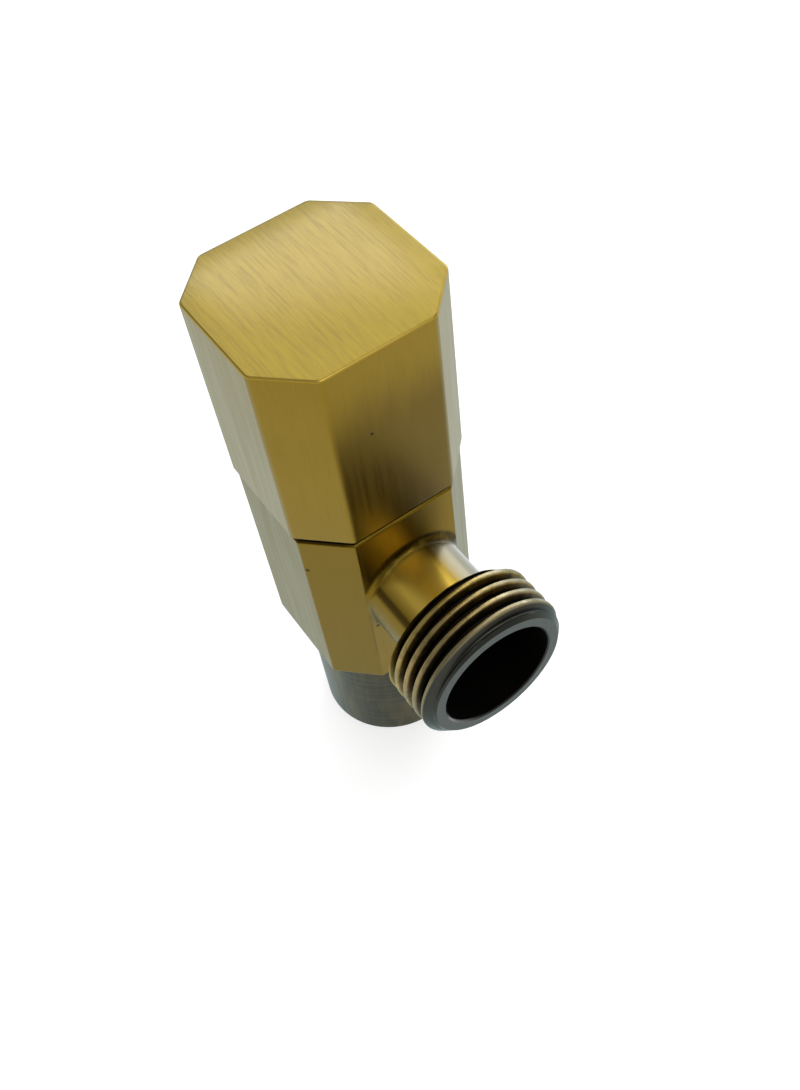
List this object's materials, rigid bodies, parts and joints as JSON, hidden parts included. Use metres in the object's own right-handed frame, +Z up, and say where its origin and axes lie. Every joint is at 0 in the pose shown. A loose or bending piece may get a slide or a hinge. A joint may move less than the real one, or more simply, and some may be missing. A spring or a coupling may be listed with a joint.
{
  "type": "angle stop valve",
  "caption": "Quarter-turn angle stop valve in brushed antique brass: eight-sided knob and body, plain round inlet below, threaded round outlet to the side.",
  "frame": {"origin": "centre of the inlet spigot's end face, on the stem axis", "axes": "+Z up the stem axis from the inlet to the knob, +X the way the water leaves by the outlet"},
  "size_m": [0.0423, 0.025, 0.0816],
  "materials": {
    "body_brass": "brushed antique brass, darker patina on the spigot and in the thread",
    "knob_brass": "brushed antique brass",
    "headwork_brass": "turned",
    "stem_brass": "turned",
    "black_rubber": "smooth",
    "ptfe": "smooth",
    "stainless": "stamped",
    "ceramic_white": "lapped",
    "ceramic_grey": "lapped",
    "insert_plastic": "moulded",
    "black_steel": "black oxide",
    "white_plastic": "moulded"
  },
  "bodies": {
    "valve": {"valve_body": "body_brass", "cartridge_housing": "headwork_brass", "housing_o_ring": "black_rubber", "stem_thrust_washer": "ptfe", "fixed_disc": "ceramic_grey", "seat_seal": "black_rubber", "seal_support_ring": "stainless", "knob_glide_ring": "white_plastic", "strainer_frame": "white_plastic", "strainer_mesh": "stainless", "strainer_clip": "stainless"},
    "knob": {"knob_shell": "knob_brass", "knob_insert": "insert_plastic", "knob_set_screw": "black_steel", "stem": "stem_brass", "stem_o_ring_upper": "black_rubber", "stem_o_ring_lower": "black_rubber", "stop_washer": "stainless", "stem_clip": "stainless", "rotating_disc": "ceramic_white"}
  },
  "joints": [
    {"name": "knob_turn", "type": "hinge", "parent": "valve", "child": "knob", "pos_m": [0, 0, 0.0535], "axis": [0, 0, 1], "range_deg": [0, 90]}
  ]
}
